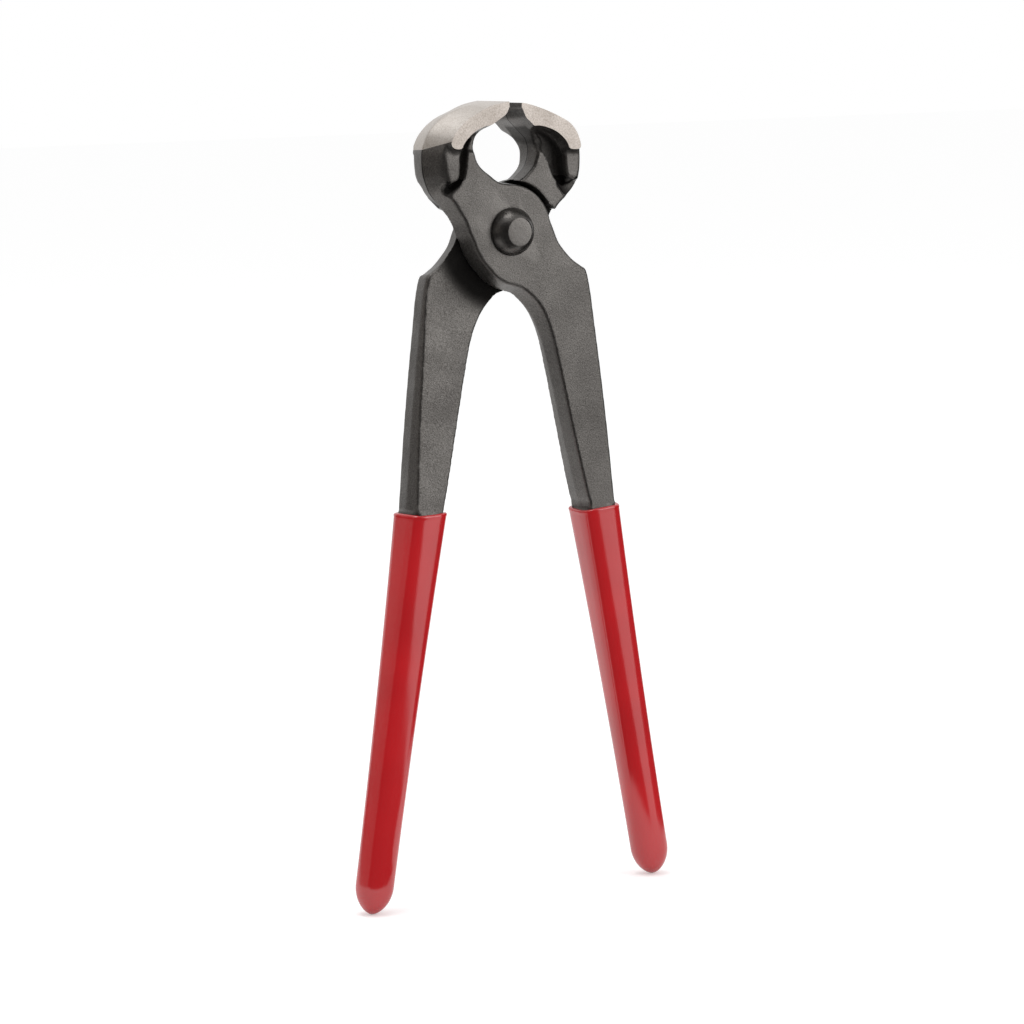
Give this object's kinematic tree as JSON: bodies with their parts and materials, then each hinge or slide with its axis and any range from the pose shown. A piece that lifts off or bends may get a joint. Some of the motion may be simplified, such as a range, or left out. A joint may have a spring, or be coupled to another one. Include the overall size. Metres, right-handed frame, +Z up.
{
  "type": "end cutting nippers",
  "caption": "Carpenter's pincers with ground steel jaws on a round rivet and long red dipped grips, standing open on the ends of the grips.",
  "frame": {"origin": "middle of the bounding box, at its bottom, where the two grip ends stand", "axes": "+Z up from the grip ends to the cutting edges, X across the handles with the front lever's grip at +X, front at -Y where the domed rivet head is"},
  "size_m": [0.1032, 0.0184, 0.2251],
  "materials": {
    "forged_steel": "blackened forged steel, fine grain, satin",
    "rivet_steel": "blackened steel, smooth satin",
    "dipped_plastic": "smooth gloss"
  },
  "bodies": {
    "rear": {"rear_lever": "forged_steel", "rivet": "rivet_steel", "rear_grip": "dipped_plastic"},
    "front": {"front_lever": "forged_steel", "front_grip": "dipped_plastic"}
  },
  "joints": [
    {"name": "jaw_pivot", "type": "hinge", "parent": "rear", "child": "front", "pos_m": [0, 0, 0.18902], "axis": [0, -1, 0], "range_deg": [-6.3, 28]}
  ]
}
